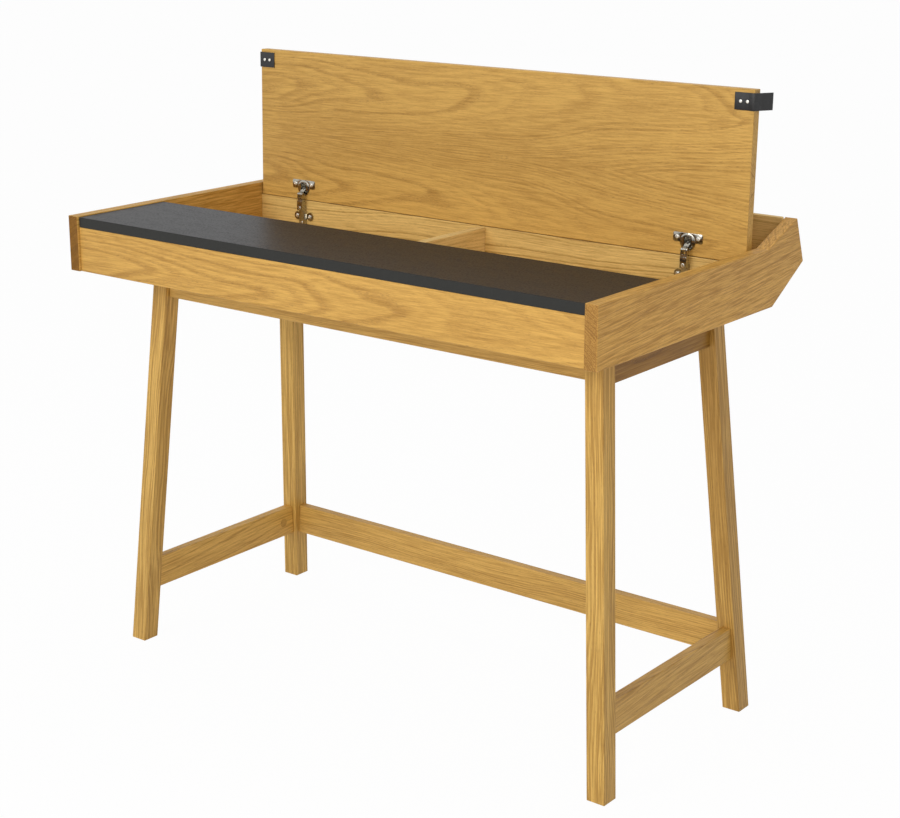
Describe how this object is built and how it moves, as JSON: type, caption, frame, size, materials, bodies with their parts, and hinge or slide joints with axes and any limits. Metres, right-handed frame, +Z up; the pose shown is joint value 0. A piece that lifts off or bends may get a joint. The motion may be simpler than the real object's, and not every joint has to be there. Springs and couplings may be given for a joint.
{
  "type": "flap desk",
  "caption": "Oak writing desk with a lift-up flap over a divided tray, a fixed dark desktop strip in front, leather pull tabs and splayed legs with low stretchers.",
  "frame": {"origin": "on the floor, under the middle of the desk's width and depth", "axes": "+X to the right of a person who sits at the desk and faces it, +Y from the front to the rear, +Z up"},
  "size_m": [1, 0.5528, 0.9678],
  "materials": {
    "oak": "satin lacquer",
    "oak_ply": "satin lacquer",
    "dark_laminate": "matt",
    "leather": "smooth",
    "nickel": "nickel plated",
    "steel": "zinc plated"
  },
  "bodies": {
    "desk": {"arm_pins": "nickel", "arm_screws": "nickel", "barrel_nuts": "steel", "box_floor": "oak", "centre_divider": "oak", "desktop_strip": "dark_laminate", "front_panel": "oak", "front_rail": "oak", "hinge_wall": "oak", "left_front_leg": "oak", "left_hinge_arm": "nickel", "left_hinge_plate": "nickel", "left_rail": "oak", "left_rear_leg": "oak", "left_side_panel": "oak", "left_stretcher": "oak", "lower_rear_board": "oak_ply", "plate_screws": "nickel", "rear_board": "oak_ply", "rear_rail": "oak", "rear_stretcher": "oak", "right_front_leg": "oak", "right_hinge_arm": "nickel", "right_hinge_plate": "nickel", "right_rail": "oak", "right_rear_leg": "oak", "right_side_panel": "oak", "right_stretcher": "oak", "stretcher_bolts": "steel", "stretcher_plugs": "oak", "strip_batten": "oak"},
    "flap": {"flap": "oak", "left_hinge_cup": "nickel", "right_hinge_cup": "nickel", "cup_pins": "nickel", "cup_screws": "nickel", "left_pull_tab": "leather", "right_pull_tab": "leather", "tab_rivets": "nickel"},
    "hinge_links": {"left_hinge_link": "nickel", "right_hinge_link": "nickel"},
    "right_tab": {"right_tab_end": "leather"}
  },
  "joints": [
    {"name": "flap_hinge", "type": "hinge", "parent": "desk", "child": "flap", "pos_m": [0, 0.14997, 0.72777], "axis": [1, 0, 0], "range_deg": [0, 91.1]},
    {"name": "link_pivot", "type": "hinge", "parent": "desk", "child": "hinge_links", "pos_m": [0, 0.1345, 0.7284], "axis": [1, 0, 0], "range_deg": [-56.38, 0]},
    {"name": "right_tab_fold", "type": "hinge", "parent": "flap", "child": "right_tab", "pos_m": [0.4781, 0.14656, 0.95037], "axis": [0, 0.0209, 0.9998], "range_deg": [0, 22]}
  ],
  "couplings": [
    {"joint": "link_pivot", "follows": "flap_hinge", "ratio": -0.61672},
    {"joint": "right_tab_fold", "follows": "flap_hinge", "ratio": 0.241}
  ]
}
